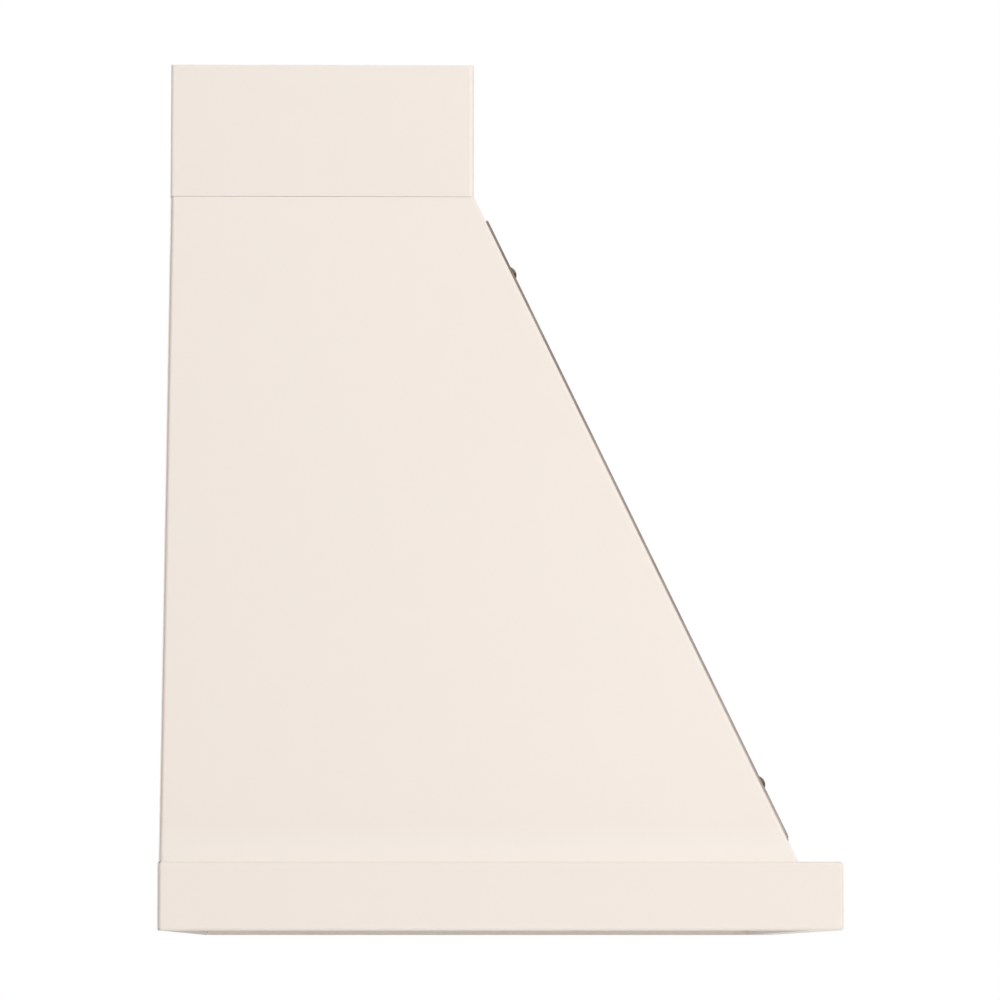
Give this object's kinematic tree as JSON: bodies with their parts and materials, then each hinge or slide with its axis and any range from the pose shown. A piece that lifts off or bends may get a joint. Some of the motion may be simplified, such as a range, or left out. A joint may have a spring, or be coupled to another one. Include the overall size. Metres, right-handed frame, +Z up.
{
  "type": "range hood",
  "caption": "Wall-hung tapered range hood in cream sheet metal with bronze corner straps, a stepped skirt, drop-down baffle filters, lamps, push buttons, blower and damper.",
  "frame": {"origin": "on the wall plane, at the middle of the bottom rim", "axes": "+Z up, +Y towards the wall, +X to the right as seen from in front of the hood"},
  "size_m": [0.914, 0.6, 0.791],
  "materials": {
    "cream_paint": "satin",
    "bronze": "oil rubbed, satin",
    "galvanised_steel": "matte",
    "stainless_steel": "brushed",
    "polished_steel": "polished",
    "lamp_glass": "frosted",
    "lamp_aluminium": "cast",
    "motor_paint": "satin",
    "black_plastic": "matte",
    "grey_plastic": "matte",
    "lead_sheath": "matte"
  },
  "bodies": {
    "hood": {"back_panel": "galvanised_steel", "cable_gland": "black_plastic", "capacitor": "grey_plastic", "chimney_bracket": "galvanised_steel", "chimney_cover": "cream_paint", "control_lead": "lead_sheath", "control_plate": "stainless_steel", "damper_rod": "galvanised_steel", "deck_flanges": "galvanised_steel", "deck_screws": "stainless_steel", "duct_collar": "galvanised_steel", "filter_catches": "stainless_steel", "front_panel": "cream_paint", "lamp_bezel_left": "polished_steel", "lamp_bezel_right": "polished_steel", "lamp_body_left": "lamp_aluminium", "lamp_body_right": "lamp_aluminium", "lamp_leads": "lead_sheath", "lamp_lens_left": "lamp_glass", "lamp_lens_right": "lamp_glass", "left_side_panel": "cream_paint", "left_strap": "bronze", "liner_pan": "stainless_steel", "liner_screws": "stainless_steel", "motor_body": "motor_paint", "motor_bracket": "galvanised_steel", "motor_lead": "lead_sheath", "outlet_transition": "galvanised_steel", "rear_rail": "cream_paint", "right_side_panel": "cream_paint", "right_strap": "bronze", "scroll_side_left": "galvanised_steel", "scroll_side_right": "galvanised_steel", "scroll_wrap": "galvanised_steel", "skirt_band": "cream_paint", "strap_rivets": "bronze", "switch_block": "black_plastic", "terminal_box": "grey_plastic", "terminal_lid": "grey_plastic", "top_deck": "galvanised_steel"},
    "fan": {"impeller": "galvanised_steel", "motor_shaft": "galvanised_steel"},
    "flap_left": {"damper_flap_left": "galvanised_steel"},
    "flap_right": {"damper_flap_right": "galvanised_steel"},
    "off_button": {"button_off": "polished_steel"},
    "low_button": {"button_low": "polished_steel"},
    "medium_button": {"button_medium": "polished_steel"},
    "high_button": {"button_high": "polished_steel"},
    "light_button": {"button_light": "polished_steel"},
    "filter_left": {"filter_frame_left": "stainless_steel", "filter_baffles_left": "stainless_steel", "filter_handle_left": "polished_steel"},
    "filter_middle": {"filter_frame_middle": "stainless_steel", "filter_baffles_middle": "stainless_steel", "filter_handle_middle": "polished_steel"},
    "filter_right": {"filter_frame_right": "stainless_steel", "filter_baffles_right": "stainless_steel", "filter_handle_right": "polished_steel"}
  },
  "joints": [
    {"name": "fan_spin", "type": "hinge", "parent": "hood", "child": "fan", "pos_m": [0, -0.22769, 0.479], "axis": [1, 0, 0], "continuous": true},
    {"name": "flap_left_swing", "type": "hinge", "parent": "hood", "child": "flap_left", "pos_m": [0, -0.13875, 0.6945], "axis": [0, 1, 0], "range_deg": [0, 75]},
    {"name": "flap_right_swing", "type": "hinge", "parent": "hood", "child": "flap_right", "pos_m": [0, -0.13875, 0.6945], "axis": [0, -1, 0], "range_deg": [0, 75]},
    {"name": "filter_left_swing", "type": "hinge", "parent": "hood", "child": "filter_left", "pos_m": [-0.276, -0.076, 0.041], "axis": [1, 0, 0], "range_deg": [0, 85]},
    {"name": "filter_middle_swing", "type": "hinge", "parent": "hood", "child": "filter_middle", "pos_m": [0, -0.076, 0.041], "axis": [1, 0, 0], "range_deg": [0, 85]},
    {"name": "filter_right_swing", "type": "hinge", "parent": "hood", "child": "filter_right", "pos_m": [0.276, -0.076, 0.041], "axis": [1, 0, 0], "range_deg": [0, 85]},
    {"name": "button_off_press", "type": "slide", "parent": "hood", "child": "off_button", "axis": [0, 0, 1], "range_m": [0, 0.0025], "stiffness_N_per_m": 1000, "springref_m": -0.001},
    {"name": "button_low_press", "type": "slide", "parent": "hood", "child": "low_button", "axis": [0, 0, 1], "range_m": [0, 0.0025], "stiffness_N_per_m": 1000, "springref_m": -0.001},
    {"name": "button_medium_press", "type": "slide", "parent": "hood", "child": "medium_button", "axis": [0, 0, 1], "range_m": [0, 0.0025], "stiffness_N_per_m": 1000, "springref_m": -0.001},
    {"name": "button_high_press", "type": "slide", "parent": "hood", "child": "high_button", "axis": [0, 0, 1], "range_m": [0, 0.0025], "stiffness_N_per_m": 1000, "springref_m": -0.001},
    {"name": "button_light_press", "type": "slide", "parent": "hood", "child": "light_button", "axis": [0, 0, 1], "range_m": [0, 0.0025], "stiffness_N_per_m": 1000, "springref_m": -0.001}
  ]
}
